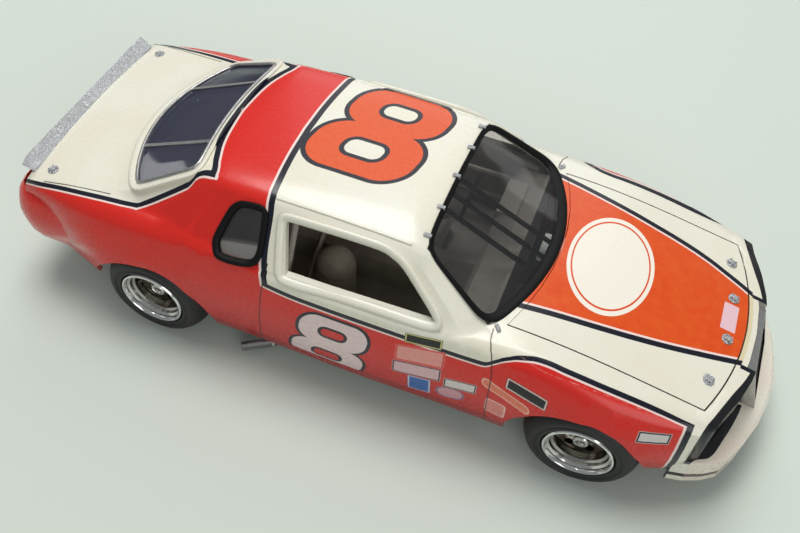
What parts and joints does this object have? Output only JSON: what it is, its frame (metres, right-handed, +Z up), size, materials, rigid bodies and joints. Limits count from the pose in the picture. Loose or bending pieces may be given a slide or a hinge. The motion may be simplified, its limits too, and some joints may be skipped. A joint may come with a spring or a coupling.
{
  "type": "model stock-car coupe",
  "caption": "Scale model of an early 1980s two-door stock-car racing coupe with rolling wheels, cage, boot spoiler and chassis.",
  "frame": {"origin": "on the ground under the middle of the car's length and width", "axes": "+X forward to the nose, +Y to the car's left, +Z up"},
  "size_m": [0.2034, 0.0778, 0.054],
  "materials": {
    "paint": "gloss",
    "glass": "clear",
    "bright": "bright",
    "black": "matte",
    "grey": "satin",
    "tyre": "matte",
    "chrome": "bright"
  },
  "bodies": {
    "car": {"body_shell": "paint", "hood": "paint", "nose_header": "paint", "front_bumper": "paint", "grille_surround": "bright", "grille": "black", "lamp_panels": "black", "windscreen": "glass", "rear_window": "glass", "quarter_windows": "glass", "windscreen_braces": "black", "rear_window_straps": "bright", "windscreen_clips": "bright", "body_pins": "bright", "rear_bumper": "paint", "spoiler": "bright", "chassis_pan": "black", "interior_tub": "black", "seat": "black", "cabin_bottle": "black", "dashboard": "black", "steering_wheel": "black", "roll_cage": "grey", "front_frame": "black", "rear_frame": "black", "engine_block": "grey", "driveline": "grey", "rear_axle": "grey", "rear_springs": "grey", "trailing_arms": "grey", "front_suspension": "grey", "front_knuckles": "grey", "exhaust_pipes": "black", "fuel_cell": "black", "radiator": "black"},
    "wheel_front_left": {"tyre_front_left": "tyre", "rim_front_left": "chrome"},
    "wheel_front_right": {"tyre_front_right": "tyre", "rim_front_right": "chrome"},
    "wheel_rear_left": {"tyre_rear_left": "tyre", "rim_rear_left": "chrome"},
    "wheel_rear_right": {"tyre_rear_right": "tyre", "rim_rear_right": "chrome"}
  },
  "joints": [
    {"name": "front_left_spin", "type": "hinge", "parent": "car", "child": "wheel_front_left", "pos_m": [0.0604, 0.0322, 0.0147], "axis": [0, 1, 0], "continuous": true},
    {"name": "front_right_spin", "type": "hinge", "parent": "car", "child": "wheel_front_right", "pos_m": [0.0604, -0.0322, 0.0147], "axis": [0, 1, 0], "continuous": true},
    {"name": "rear_left_spin", "type": "hinge", "parent": "car", "child": "wheel_rear_left", "pos_m": [-0.056, 0.0322, 0.0147], "axis": [0, 1, 0], "continuous": true},
    {"name": "rear_right_spin", "type": "hinge", "parent": "car", "child": "wheel_rear_right", "pos_m": [-0.056, -0.0322, 0.0147], "axis": [0, 1, 0], "continuous": true}
  ]
}
